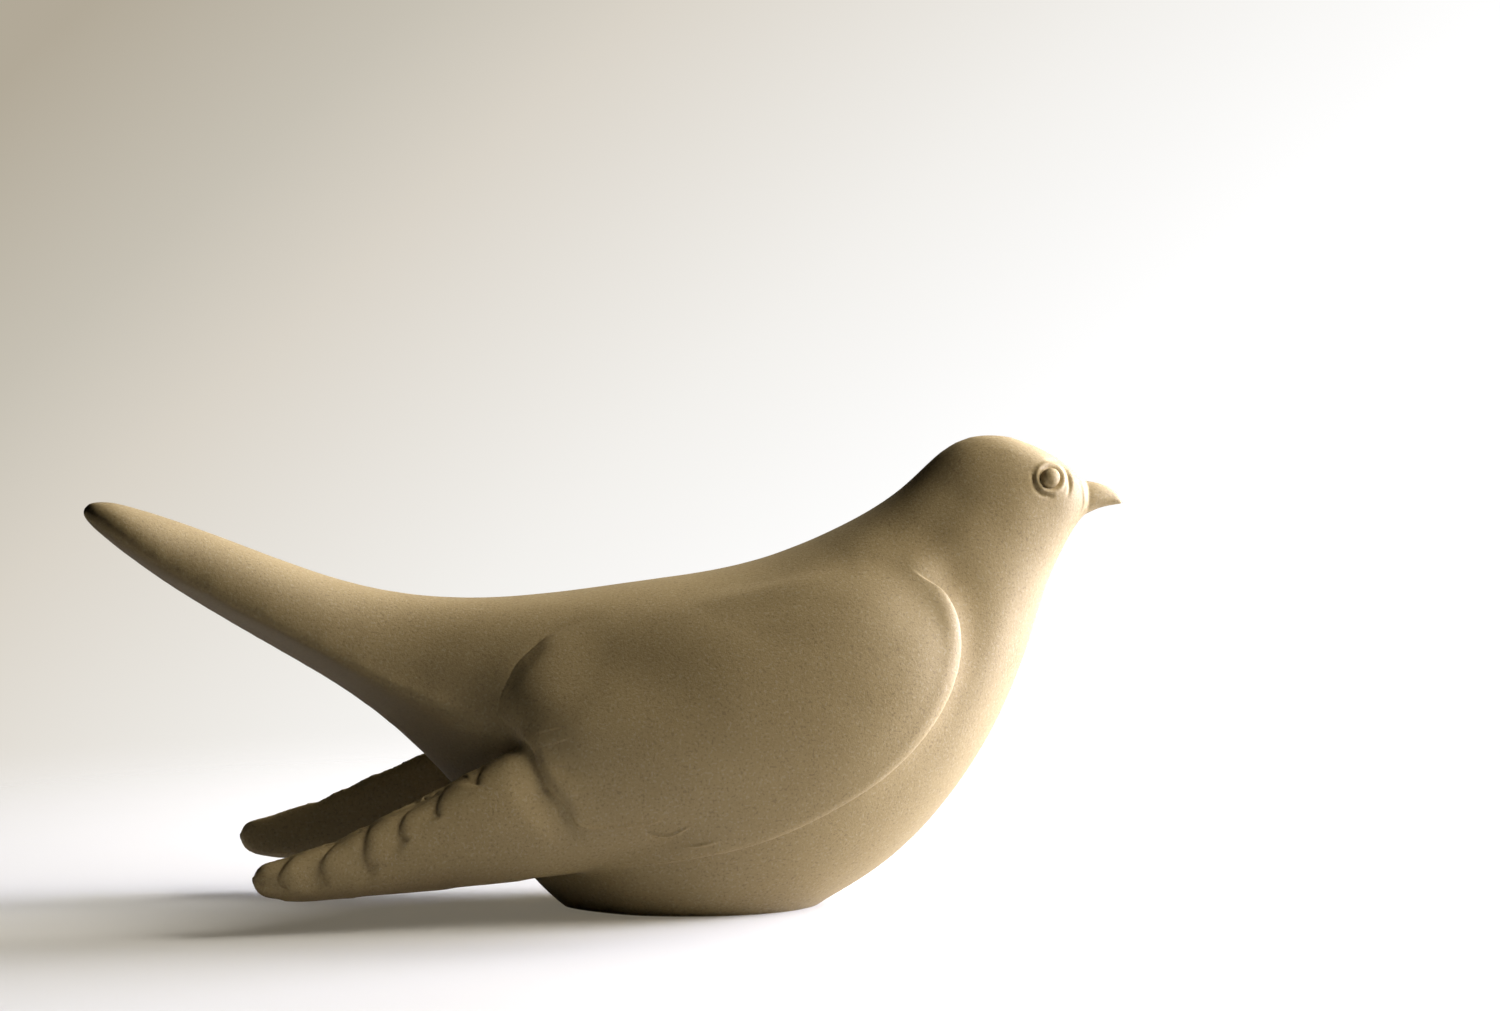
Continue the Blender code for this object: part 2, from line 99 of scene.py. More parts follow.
# Carved lines seen from the side (X, Z), in shares, each from its upper end down
lines = {
    "wingTop": [(-260, 310), (-130, 318), (0, 338), (100, 348), (165, 343), (200, 331)],
    "wingFront": [(216, 319), (228, 312), (240, 296), (246, 274), (245.5, 251), (238.5, 225), (212, 178.5),
                  (166, 133.5), (118, 104.5), (62, 80), (15, 67), (-23, 59.5), (-61, 53.5), (-120, 47)],
    "lobeCrease": [(-134, 250), (-150, 241.5), (-165, 234), (-172.5, 225), (-177, 216), (-183.5, 208),
                   (-188, 200), (-191, 190)],
    "crease": [(-140, 268), (-153, 259), (-163, 251), (-171, 243), (-179, 230), (-185, 218), (-189, 206),
               (-191, 195), (-191, 188)],
    "innerEnds": [(-172, 182), (-166, 174.5), (-160.5, 167), (-157, 156.5), (-152, 145), (-147.5, 134),
                  (-141.5, 127), (-135, 121), (-130.5, 113), (-126.5, 105), (-121, 98), (-109, 94),
                  (-94.5, 94), (-80.5, 95.5), (-66.5, 97), (-52.5, 99.5), (-38.5, 106)],
    "smallEnds": [[(-60, 92), (-52, 88.5), (-42.5, 86.5), (-33, 86.5), (-19, 93), (-9, 98)],
                  [(-20, 76), (-11, 75), (-2.5, 76), (6.5, 78), (16, 81)]],
    "hooks": [[(-376, 82), (-391, 70), (-396, 61.5), (-398, 53), (-395, 47.5), (-387, 44)],
              [(-322, 102), (-342.5, 88.5), (-352.5, 79.5), (-358.5, 70), (-359, 61), (-355.5, 53.5),
               (-348, 47)],
              [(-284, 119), (-307.5, 107), (-315, 98), (-318, 86), (-318.5, 75), (-315, 67.5), (-304, 62)],
              [(-248, 134), (-272, 118.5), (-281.5, 111), (-285.5, 101.5), (-285, 93.5), (-277, 86)],
              [(-222, 148), (-243.5, 133), (-249.5, 125), (-251.5, 116.5), (-248, 107)],
              [(-192, 165), (-208.5, 151), (-212.5, 143.5), (-213.5, 135)]],
    "barbs": [[(-165, 181), (-152.5, 184), (-133.5, 190), (-112, 197)],
              [(-160, 169), (-150, 172.5), (-134.2, 176.9), (-112, 184)],
              [(-155, 154), (-147.3, 154.3), (-136.2, 154.1), (-98.9, 156)],
              [(-142, 126.5), (-126.9, 127.8), (-108, 129.3), (-85, 134)],
              [(-138, 124), (-141.5, 126), (-150.5, 128.7), (-158.5, 129), (-170, 126)]],
    "lobeUpper": [(450, 378), (300, 362), (100, 336), (0, 312), (-60, 293), (-100, 281), (-126, 273.5),
                  (-140, 268), (-153, 259), (-163, 251), (-171, 243), (-179, 230), (-185, 218), (-189, 206),
                  (-191, 195), (-192, 180), (-193, 160), (-195, 120)],
    "lobeLower": [(-290, 215), (-240, 202), (-205, 193), (-180, 186), (-168, 176), (-160.5, 167),
                  (-157, 156.5), (-152, 145), (-147.5, 134), (-141.5, 127), (-135, 121), (-130.5, 113),
                  (-126.5, 105), (-121, 98), (-116, 85), (-110, 60), (-105, 30)],
    "bladeUnder": [(-421, 54), (-419.5, 46), (-413, 38), (-398, 33), (-350, 31), (-240, 36)],
    "bladeUpper": [(-421, 54), (-416, 64), (-400, 71), (-337, 93), (-266, 126)],
    "nape": [(150, 328), (182, 340), (212, 358), (240, 384), (262, 412), (272, 436)],
    "roughBrow": [(330, 428), (345, 432), (362, 425), (372, 411), (370, 396)],
    "brow": [(341, 427), (349.5, 426), (358.5, 423.5), (366, 416), (368, 406.5), (366, 396), (361, 387)],
    "faceEdge": [(371, 417), (377.4, 410.5), (381.4, 403.8), (383, 396), (383.5, 389), (383, 381),
                 (379, 371)],
    "mouth": [(386, 379), (391.6, 379.9), (398.5, 381.3), (407.4, 382.1), (414, 384.5)],
    "ridge": [(-520, 348), (-471, 319), (-358, 261), (-300, 230), (-260, 212), (-225, 199), (-190, 186)],
    "beakTop": [(365, 405), (387.5, 403.5), (400, 401.5), (411, 397.5), (418.5, 392.5), (424, 386.5),
                (426.5, 381)],
    "beakUnder": [(365, 362), (389, 371), (400.5, 376), (415, 379.5), (426.5, 381)],
    "beakWidth": [(365, 18), (388, 17), (402, 13), (415, 8), (423, 4), (426.5, 0)],
}

# The lowest inner feathers: thin steps that die out towards both ends
thinSteps = [
    {"line": lines["innerEnds"][9:], "drop": 0.0012, "fade": 0.2},
    {"line": lines["smallEnds"][0], "drop": 0.0010, "fade": 0.35},
    {"line": lines["smallEnds"][1], "drop": 0.0008, "fade": 0.45},
]

eye = {
    "rough": (348, 409),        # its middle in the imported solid, in shares
    "middle": (346.6, 409.2),   # in shares
    "roughBulge": 0.7,
    "bulge": 0.80,
    "radius": 0.0048,
    "innerGroove": {"at": 0.0003, "width": 0.0006, "depth": 0.0007},  # measured from the ball's edge
    "lid": {"at": 0.0074, "width": 0.0012, "height": 0.0008},
    "outerGroove": {"at": 0.0094, "width": 0.0010, "depth": 0.0009},
    "brow": {"width": 0.0011, "depth": 0.0017},
}


def selectOnly(obj):
    bpy.ops.object.select_all(action="DESELECT")
    obj.select_set(True)
    bpy.context.view_layer.objects.active = obj


def smoothLine(points, steps=10):
    # natural cubic through the points, as a dense line in metres
    p = np.array(points, float) * share
    t = np.concatenate([[0], np.cumsum(np.linalg.norm(np.diff(p, axis=0), axis=1))])
    h = np.diff(t)
    system, right = np.eye(len(p)), np.zeros_like(p)
    for i in range(1, len(p) - 1):
        system[i, i - 1:i + 2] = h[i - 1], 2 * (h[i - 1] + h[i]), h[i]
        right[i] = 6 * ((p[i + 1] - p[i]) / h[i] - (p[i] - p[i - 1]) / h[i - 1])
    bend = np.linalg.solve(system, right)
    parts = [p[:1]]
    for i in range(len(p) - 1):
        u = np.linspace(0, 1, steps + 1)[1:, None]
        v = 1 - u
        bow = h[i] ** 2 / 6 * ((v ** 3 - v) * bend[i] + (u ** 3 - u) * bend[i + 1])
        parts.append(v * p[i] + u * p[i + 1] + bow)
    return np.concatenate(parts)


def ramp(value, low, high):
    # 0 up to low, 1 from high on, and soft between them
    u = np.clip((value - low) / (high - low), 0, 1)
    return u * u * (3 - 2 * u)


def shareRamp(value, low, high):
    return ramp(value, low * share, high * share)


def band(value, low, middle, high):
    return ramp(value, low, middle) * (1 - ramp(value, middle, high))


def crest(value, middle, width):
    return np.exp(-((value - middle) / width) ** 2)


def quarter(value, reach):
    # rises like a quarter circle over the reach
    return np.sqrt(np.maximum(1 - (1 - np.clip(value / reach, 0, 1)) ** 2, 0))


def ball(away, radius):
    return np.sqrt(np.maximum(radius ** 2 - away ** 2, 0))


def fadeEnds(amount, along, first, last):
    # lets a carved line die out over a part of its length at either end
    return amount * ramp(along, 0, first) * ramp(1 - along, 0, last)


def besideLine(flat, drawn, reach=None):
    # signed distance from a line, positive on its right, and how far along it; far points get the reach
    line = smoothLine(drawn)
    gap = np.full(len(flat), 9.0 if reach is None else reach)
    along = np.zeros(len(flat))
    low, high = line.min(axis=0), line.max(axis=0)
    if reach is None:
        near = np.arange(len(flat))
    else:
        near = np.flatnonzero(((flat > low - reach) & (flat < high + reach)).all(axis=1))
    start, run = line[:-1], np.diff(line, axis=0)
    length = np.linalg.norm(run, axis=1)
    passed = np.concatenate([[0], np.cumsum(length)])
    for piece in np.array_split(near, max(1, len(near) // 8000)):
        offset = flat[piece][:, None] - start[None]
        u = np.clip((offset * run).sum(-1) / length ** 2, 0, 1)
        away = offset - u[..., None] * run
        distance = np.linalg.norm(away, axis=-1)
        best = distance.argmin(axis=1)
        row = np.arange(len(piece))
        cross = run[best, 0] * offset[row, best, 1] - run[best, 1] * offset[row, best, 0]
        gap[piece] = np.where(cross > 0, -1, 1) * distance[row, best]
        along[piece] = (passed[best] + u[row, best] * length[best]) / passed[-1]
    return gap, along


def readSkin(obj):
    count = len(obj.data.vertices)
    points, normals = np.empty(count * 3, np.float32), np.empty(count * 3, np.float32)
    obj.data.vertices.foreach_get("co", points)
    obj.data.vertex_normals.foreach_get("vector", normals)
    return points.reshape(-1, 3).astype(float), normals.reshape(-1, 3).astype(float)


def writeSkin(obj, points):
    obj.data.vertices.foreach_set("co", points.astype(np.float32).ravel())
    obj.data.update()


def raiseSkin(obj, relief):
    points, normals = readSkin(obj)
    writeSkin(obj, points + normals * relief(points, normals)[:, None])


def rub(obj, strength, rounds, keepSize=True):
    # evens the skin out, and gives back the size that plain averaging would take off
    points, _ = readSkin(obj)
    edges = np.empty(len(obj.data.edges) * 2, np.int32)
    obj.data.edges.foreach_get("vertices", edges)
    a, b = edges.reshape(-1, 2).T
    count = len(points)
    pull = strength[:, None] * 0.5
    around = np.maximum(np.bincount(a, minlength=count) + np.bincount(b, minlength=count), 1)[:, None]

    def averaged(field):
        for _ in range(rounds):
            total = np.stack([np.bincount(a, field[b, k], count) + np.bincount(b, field[a, k], count)
                              for k in range(3)], axis=1)
            field = field + pull * (total / around - field)
        return field

    even = averaged(points)
    if keepSize:
        even = even + averaged(points - even)
    writeSkin(obj, even)


def facing(points, normals):
    # how far the skin faces away from the middle plane
    side = np.where(points[:, 1] < 0, -1.0, 1.0)
    return normals[:, 1] * side


def onSide(points, turned):
    # 1 on the bird's two sides, 0 along its middle and where the skin looks inward
    return ramp(turned, -0.5, 0.1) * shareRamp(np.abs(points[:, 1]), 0, 40)


def stepDown(flat, drawn, depth, reach, edge=(-0.0004, 0.0007), fade=0.25, back=1.0):
    # stone taken off on the right of a line, easing out again over the reach
    gap, along = besideLine(flat, drawn, reach * 1.2)
    cut = band(gap * back, *edge, reach)
    return fadeEnds(-depth * cut, along, fade, fade)


def roundedStep(flat, drawn, depth, radius, reach, fades):
    # the left side of a line rounds down to it, and the right side eases up again over the reach
    gap, along = besideLine(flat, drawn, reach * 1.2)
    shoulder = 1 - quarter(-gap, radius)
    slope = 1 - ramp(gap, 0.0004, reach)
    return fadeEnds(-depth * np.where(gap < 0, shoulder, slope), along, *fades)


def roughRelief(points, normals):
    # the same carving as in the solid
    flat = points[:, [0, 2]]
    x, z = flat.T
    turned = facing(points, normals)
    gap, _ = besideLine(flat, lines["wingTop"] + lines["wingFront"])
    fromTop = np.abs(besideLine(flat, lines["wingTop"])[0])
    behind = np.abs(besideLine(flat, lines["wingFront"])[0])
    lip = rough["lip"] * (0.5 + 0.5 * shareRamp(z, 50, 230))
    lip *= shareRamp(fromTop, 0, 60) * shareRamp(x, -120, 0)
    raised = ramp(gap, *rough["lipEdge"]) * (1 - shareRamp(behind, 70, 300))
    groove = band(gap, *rough["lipGroove"])
    height = lip * (raised - 0.25 * groove) * ramp(turned, 0.25, 0.7)

    edge = (-0.5 * rough["grid"], 0.7 * rough["grid"])
    small = rough["secondary"] / 2
    steps = stepDown(flat, lines["lobeCrease"], rough["crease"], 14 * share, edge, rough["fade"])
    steps += stepDown(flat, lines["innerEnds"], rough["secondary"], 34 * share, edge, rough["fade"])
    for end in lines["smallEnds"]:
        steps += stepDown(flat, end, small, 20 * share, edge)
    for hook in lines["hooks"]:
        steps += stepDown(flat, hook, rough["feather"], 34 * share, edge, rough["fade"])
    steps += stepDown(flat, lines["roughBrow"], small, 14 * share, edge, back=-1.0)

    reach = np.linalg.norm(flat - np.array(eye["rough"]) * share, axis=1)
    radius, ring = rough["eyeball"] / 2, rough["eyeRing"]
    dome = ball(reach, radius) * eye["roughBulge"]
    rim = band(reach, radius, radius + ring / 2, radius + ring * 1.4)
    return height + (steps + dome + 0.6 * ring * rim) * onSide(points, turned)


def lipRelief(flat, turned):
    # the wing's front edge: a rounded bead that stands over a shallow hollow in the breast
    x, z = flat.T
    gap, _ = besideLine(flat, lines["wingTop"] + lines["wingFront"])
    behind = np.abs(besideLine(flat, lines["wingFront"])[0])
    fromTop = np.abs(besideLine(flat, lines["wingTop"])[0])
    high = shareRamp(z, 60, 230)
    lip = stone["lipHeight"] * (0.46 + 0.54 * high)
    lip *= shareRamp(x, -140, 40)
    bead = quarter(gap + 0.0005, stone["lipRound"] * (0.4 + 0.6 * high))
    raised = stone["lipBead"] * bead * shareRamp(fromTop, 5, 75)
    raised += stone["lipBroad"] * quarter(gap, stone["lipBreadth"]) * shareRamp(fromTop, 0, 120)
    raised *= 1 - shareRamp(behind, 60, 420)
    hollow = (1 - ramp(-gap, 0.0008, 80 * share)) * (1 - ramp(gap, -0.0008, 0.0006))
    hollow *= shareRamp(behind, 90, 0)
    upperEnd, lowerEnd = shareRamp(fromTop, 0, 50), shareRamp(x, -60, 60)
    hollow *= upperEnd * lowerEnd * shareRamp(z, 50, 200)
    return (lip * raised - stone["lipHollow"] * hollow) * ramp(turned, 0.2, 0.6)


def lobeRelief(flat):
    # the lobe ends in a tight rounded edge with a broad rise behind it, and a crease under it
    x, z = flat.T
    upper, _ = besideLine(flat, lines["lobeUpper"], 450 * share)
    lower, _ = besideLine(flat, lines["lobeLower"], 450 * share)
    soft = stone["lobeSoft"] * share
    inside = -soft * np.logaddexp(upper / soft, lower / soft)
    tight = quarter(inside, 30 * share) - 0.15 * (1 - shareRamp(np.abs(upper), 0, 10))
    tight *= 1 - shareRamp(x - 0.6 * (z - 240 * share), -160, -95)
    tight *= shareRamp(z, 110, 175) * (1 + 0.4 * shareRamp(z, 215, 260))
    broad = ramp(np.clip(inside / (130 * share), 0, 1), -0.15, 1)
    pillow = (0.50 * tight + 0.45 * broad) * (1 - shareRamp(inside, 80, 400))
    rise = stone["lobeRise"] * pillow * (1 - shareRamp(z, 205, 340)) * shareRamp(z, 40, 190)
    gap, along = besideLine(flat, lines["crease"], 14 * share)
    groove = band(-gap, -3 * share, 4 * share, 16 * share)
    return rise - fadeEnds(stone["creaseDrop"] * groove, along, 0.3, 0.3)


def carveFeathers(steps, flat, fromMiddle):
    # the inner feathers end in steps and lie over each other like shingles
    firstEnds = lines["innerEnds"][:12]
    steps += roundedStep(flat, firstEnds, stone["secondaryDrop"], 11 * share, 40 * share, (0.2, 0.3))
    for thin in thinSteps:
        steps += stepDown(flat, thin["line"], thin["drop"], 20 * share, fade=thin["fade"])
        gap, along = besideLine(flat, thin["line"], 14 * share)
        rim = crest(gap, -stone["rimInset"], stone["rimWidth"])
        steps += stone["edgeRise"] * fadeEnds(rim, along, thin["fade"], thin["fade"])
    for barb in lines["barbs"]:
        gap, along = besideLine(flat, barb, 22 * share)
        cut = band(gap, -0.0003, 0.0006, 18 * share)
        steps -= stone["barbDrop"] * cut * ramp(along, 0, 0.3) * (1 - ramp(along, 0.35, 1))

    # the tail's lower edge, where the underside turns away
    gap, along = besideLine(flat, lines["ridge"], 40 * share)
    ridge = np.exp(-np.abs(gap) / (8 * share)) * ramp(along, 0, 0.5) * (1 - ramp(along, 0.93, 1))
    steps += stone["ridgeRise"] * ridge

    # hooked tips along the blade: a crease with the tip's pillow on its left
    onBlade = shareRamp(fromMiddle, 112, 128)
    for hook in lines["hooks"]:
        cut = roundedStep(flat, hook, stone["featherDrop"], 9 * share, 30 * share, (0.06, 0.12))
        steps += cut * onBlade


def carveHead(steps, flat):
    # eye: ball, lid ring, and an outer groove that is open below the beak's side and over the nape's side
    away = flat - np.array(eye["middle"]) * share
    reach = np.linalg.norm(away * (1, 1.05), axis=1)
    bearing = np.degrees(np.arctan2(away[:, 1], away[:, 0]))
    inner, lid, outer = eye["innerGroove"], eye["lid"], eye["outerGroove"]
    bulge = eye["bulge"] * ball(reach, eye["radius"])
    innerCut = inner["depth"] * crest(reach - eye["radius"], inner["at"], inner["width"])
    lidRise = lid["height"] * crest(reach, lid["at"], lid["width"])
    outerCut = outer["depth"] * crest(reach, outer["at"], outer["width"])
    behindEye = (1 - ramp(bearing, -100, -70)) * ramp(bearing, -200, -185) + ramp(bearing, 150, 175)
    steps += bulge - innerCut + lidRise - outerCut * behindEye

    # brow, edge of the face, mouth
    brow = eye["brow"]
    gap, along = besideLine(flat, lines["brow"], 8 * share)
    steps -= fadeEnds(brow["depth"] * crest(gap, 0, brow["width"]), along, 0.25, 0.4)
    gap, along = besideLine(flat, lines["faceEdge"], 12 * share)
    steps += fadeEnds(stone["faceRise"] * band(gap, -6 * share, 0, 2.5 * share), along, 0.3, 0.3)
    gap, along = besideLine(flat, lines["mouth"], 6 * share)
    steps -= fadeEnds(stone["mouthDrop"] * crest(gap, 0, stone["mouthWidth"]), along, 0.2, 0.1)


def fineRelief(points, normals):
    flat = points[:, [0, 2]]
    turned = facing(points, normals)
    height = lipRelief(flat, turned)
    steps = lobeRelief(flat)
    carveFeathers(steps, flat, np.abs(points[:, 1]))
    carveHead(steps, flat)
    return height + steps * onSide(points, turned)


def headRelief(points, normals):
    # a narrower nape, and cheeks that stand out
    flat = points[:, [0, 2]]
    gap, along = besideLine(flat, lines["nape"], 90 * share)
    narrower = fadeEnds(crest(gap, 0, 24 * share), along, 0.3, 0.3)
    fromCheek = np.linalg.norm((flat / share - stone["cheekSpot"]) / stone["cheekSize"], axis=1)
    change = stone["cheekRise"] * crest(fromCheek, 0, 1) - stone["napeHollow"] * narrower
    return change * ramp(facing(points, normals), 0.15, 0.6)


# The beak in shares, with its roundness above and below the widest line
beak = {"root": 386, "blend": 5, "widest": 0.42, "above": 1.7, "below": 2.0}


def shapeBeak(obj):
    # the rubbed beak goes back to its full length and round cross-sections
    points, _ = readSkin(obj)
    root, tip = beak["root"] * share, lines["beakTop"][-1][0] * share
    near = points[:, 0] > root
    x = root + (points[near, 0] - root) * (tip - root) / (points[:, 0].max() - root)
    names = ("beakTop", "beakUnder", "beakWidth")
    top, under, width = (np.interp(x, *smoothLine(lines[name]).T) for name in names)
    widest = under + beak["widest"] * (top - under)
    y, z = points[near, 1], points[near, 2] - widest
    tall = np.maximum(np.where(z > 0, top - widest, widest - under), 0.2 * share)
    power = np.where(z > 0, beak["above"], beak["below"])
    size = (np.abs(y / np.maximum(width, 0.2 * share)) ** power + np.abs(z / tall) ** power) ** (1 / power)
    fit = 1 + ramp(x, root, root + beak["blend"] * share) * (1 / np.maximum(size, 0.05) - 1)
    points[near] = np.stack([x, y * fit, widest + z * fit], axis=1)
    writeSkin(obj, points)


# The two wing blades, in shares but for their thickness
blades = {
    "tipThick": 0.013,
    "rootThick": 0.024,
    "thickFrom": -186,          # where they have their full thickness
    "shapedFrom": -340,         # shaped behind this and below the next
    "shapedBelow": 125,
    "blend": 30,
    "tipRound": 22,             # length over which the tip rounds off
    "tipWidth": 0.15,           # part of the thickness left at the very tip
    "power": 2.4,               # squareness of the cross-section
    "outward": 162.5,           # how far the outer face stands from the middle plane
    "bowHeight": 118,           # its bow from top to bottom, and the height of the bow's middle
    "bowSpots": (58, 80),
    "bowFrom": -300,
}


def outerFace(z, middle):
    bow = np.clip((z - middle) / (blades["bowHeight"] * share), -0.9, 0.9)
    return blades["outward"] * share * np.sqrt(1 - bow ** 2)


def shapeBlades(obj):
    # the rubbed tips of the wing blades go back to their full length and slab-like cross-sections
    points, _ = readSkin(obj)
    root, tip = blades["shapedFrom"] * share, lines["bladeUpper"][0][0] * share
    tipThick, rootThick = blades["tipThick"], blades["rootThick"]
    tipWidth, power = blades["tipWidth"], blades["power"]
    for side in (-1, 1):
        near = (points[:, 0] < root) & (points[:, 2] < blades["shapedBelow"] * share)
        near &= points[:, 1] * side > 0
        x, y, z = points[near].T
        x = root + (x - root) * (tip - root) / (x.min() - root)
        low, high = (np.interp(x, *smoothLine(lines[name]).T) for name in ("bladeUnder", "bladeUpper"))
        middle, tall = (low + high) / 2, np.maximum((high - low) / 2, 0.2 * share)
        full = tipThick + (rootThick - tipThick) * ramp(x, tip, blades["thickFrom"] * share)
        wide = full / 2 * (tipWidth + (1 - tipWidth) * quarter(x - tip, blades["tipRound"] * share))
        bowSpots = [spot * share for spot in blades["bowSpots"]]
        bowMiddle = np.interp(x, (tip, blades["bowFrom"] * share), bowSpots)
        y = y * side - (outerFace(z, bowMiddle) - full / 2)
        z = z - middle
        size = (np.abs(y / wide) ** power + np.abs(z / tall) ** power) ** (1 / power)
        fit = 1 + ramp(-x, -root, -root + blades["blend"] * share) * (1 / np.maximum(size, 0.05) - 1)
        newZ = middle + z * fit
        newY = outerFace(newZ, bowMiddle) - full / 2 + y * fit
        points[near] = np.stack([x, side * newY, newZ], axis=1)
    writeSkin(obj, points)


def detailReach(flat):
    # distance from the nearest carved line, the eye, the beak or the blades' tips
    x, z = flat.T
    every = [lines["wingTop"][-1:] + lines["wingFront"][:-1]]
    every += [lines[name] for name in ("innerEnds", "brow", "mouth", "crease", "faceEdge")]
    every += lines["smallEnds"] + lines["hooks"] + lines["barbs"]
    nearest = np.full(len(flat), 0.03)
    for drawn in every:
        nearest = np.minimum(nearest, np.abs(besideLine(flat, drawn, 0.03)[0]))
    fromEye = np.linalg.norm(flat - np.array(eye["middle"]) * share, axis=1) - 0.006
    fromTips = np.where(z > 120 * share, 9.0, x + 385 * share)  # the tail above them stays out
    fromEnds = np.minimum(beak["root"] * share - x, fromTips)
    return np.minimum(nearest, np.maximum(np.minimum(fromEye, fromEnds), 0))


def spared(points):
    # 1 at thin tips and edges that rubbing would wear away, 0 on plain forms
    x, _, z = (points / share).T
    tailTip, beakTip = ramp(-x, 500, 540), ramp(x, 372, 392)
    bladePart = 0.6 * ramp(-x, 150, 200) * (1 - ramp(z, 185, 230) * ramp(x, -230, -160))
    gap, _ = besideLine(points[:, [0, 2]], lines["ridge"], 40 * share)
    ridge = 0.85 * crest(gap, 0, 9 * share) * ramp(-x, 190, 240)
    return np.maximum.reduce([tailTip, beakTip, bladePart, ridge])


def refine(obj, chosen):
    # splits the faces whose points are all chosen
    selectOnly(obj)
    bpy.ops.object.mode_set(mode="EDIT")
    bpy.ops.mesh.select_mode(type="FACE")
    bpy.ops.mesh.select_all(action="DESELECT")
    bpy.ops.object.mode_set(mode="OBJECT")
    inFace = np.array([chosen[list(p.vertices)].all() for p in obj.data.polygons])
    obj.data.polygons.foreach_set("select", inFace)
    bpy.ops.object.mode_set(mode="EDIT")
    bpy.ops.mesh.subdivide(number_cuts=1)
    bpy.ops.object.mode_set(mode="OBJECT")


# The statue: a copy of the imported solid, rubbed smooth and carved again in full
selectOnly(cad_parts["cuckoo"])
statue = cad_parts["cuckoo"].copy()
statue.data = statue.data.copy()
statue.name = "cuckooStone"
statue.parent = None
for key in list(statue.keys()):
    del statue[key]
bpy.context.scene.collection.objects.link(statue)
selectOnly(statue)
bpy.ops.object.mode_set(mode="EDIT")
bpy.ops.mesh.select_mode(type="VERT")
bpy.ops.mesh.select_all(action="SELECT")
bpy.ops.mesh.remove_doubles(threshold=stone["merge"])

# the belly goes on under the floor for now, so that the flat keeps a crisp rim
bpy.ops.mesh.select_mode(type="FACE")
bpy.ops.mesh.select_all(action="DESELECT")
bpy.ops.object.mode_set(mode="OBJECT")
for face in statue.data.polygons:
    face.select = face.center.z < 0.0003 and face.normal.z < -0.9
for depth, width in stone["footSteps"]:
    bpy.ops.object.mode_set(mode="EDIT")
    bpy.ops.mesh.extrude_region_move(TRANSFORM_OT_translate={"value": (0, 0, -depth * stone["footDepth"])})
    bpy.ops.transform.resize(value=(width, width, 1), center_override=(0, 0, 0))
    bpy.ops.object.mode_set(mode="OBJECT")
remesh = statue.modifiers.new("skin", "REMESH")
remesh.mode = "VOXEL"
remesh.voxel_size = stone["grid"]
selectOnly(statue)
bpy.ops.object.modifier_apply(modifier="skin")
print("stone: skin of", len(statue.data.vertices), "points")

rub(statue, np.ones(len(statue.data.vertices)), stone["firstRounds"], keepSize=False)
raiseSkin(statue, lambda points, normals: -roughRelief(points, normals))

# plain forms are rubbed most, and thin tips and edges least
thinPart = spared(readSkin(statue)[0])
rub(statue, 1 - 0.85 * thinPart, stone["evenRounds"])
rub(statue, 0.5 + 0.5 * (1 - thinPart), stone["edgeRounds"])
raiseSkin(statue, headRelief)

# the tail keeps its width almost to its tip
points, _ = readSkin(statue)
back = -points[:, 0] / share
points[:, 1] *= 1 + stone["tailSpread"] * ramp(back, 470, 550) * (1 - ramp(back, 562, 574))
writeSkin(statue, points)

# the rump rises softly to the lobe, before the crease between them is cut
points, _ = readSkin(statue)
gap, _ = besideLine(points[:, [0, 2]], lines["lobeCrease"][:-1], 80 * share)
nearCrease = 1 - shareRamp(np.abs(gap), 22, 62)
nearCrease *= shareRamp(points[:, 2], 177, 192) * shareRamp(np.abs(points[:, 1]), 40, 70)
rub(statue, nearCrease, stone["creaseRounds"], keepSize=False)
print("stone: rubbed")

for reach in stone["splitReach"]:
    points, normals = readSkin(statue)
    near = detailReach(points[:, [0, 2]]) < reach
    near &= facing(points, normals) > stone["inward"]
    refine(statue, near)
    points, _ = readSkin(statue)
    near = detailReach(points[:, [0, 2]]) < reach + stone["splitMargin"]
    rub(statue, near.astype(float), stone["splitRounds"])
shapeBlades(statue)
raiseSkin(statue, fineRelief)
points, _ = readSkin(statue)
near = detailReach(points[:, [0, 2]]) < stone["lastReach"]
rub(statue, near * 0.5, stone["lastRounds"])
shapeBeak(statue)
print("stone: carved,", len(statue.data.vertices), "points")

# the flat under the belly
selectOnly(statue)
bpy.ops.object.mode_set(mode="EDIT")
bpy.ops.mesh.select_all(action="SELECT")
bpy.ops.mesh.bisect(plane_co=(0, 0, 0), plane_no=(0, 0, 1), clear_inner=True, use_fill=True)
bpy.ops.mesh.select_all(action="SELECT")
bpy.ops.mesh.quads_convert_to_tris()
bpy.ops.object.mode_set(mode="OBJECT")
thinned = statue.modifiers.new("thinned", "DECIMATE")
thinned.ratio = min(1, stone["triangles"] / len(statue.data.polygons))
bpy.ops.object.modifier_apply(modifier="thinned")
bpy.ops.object.shade_smooth_by_angle(angle=0.9)
print("stone:", len(statue.data.polygons), "triangles")


def feed(tree, node, sockets):
    # a socket gets a plain value, or a link where the value is another node's output
    for key, value in sockets.items():
        if isinstance(value, bpy.types.NodeSocket):
            tree.links.new(value, node.inputs[key])
        else:
            node.inputs[key].default_value = value
    return node


def newNode(tree, kind, spot, sockets=None):
    node = tree.nodes.new("ShaderNode" + kind)
    node.location = spot
    return feed(tree, node, sockets or {})


def mathNode(tree, spot, operation, *values):
    node = newNode(tree, "Math", spot)
    node.operation = operation
    return feed(tree, node, dict(enumerate(values))).outputs[0]


def mixNode(tree, spot, factor, first, second):
    node = newNode(tree, "Mix", spot)
    node.data_type = "RGBA"
    return feed(tree, node, {"Factor": factor, "A": first, "B": second}).outputs["Result"]


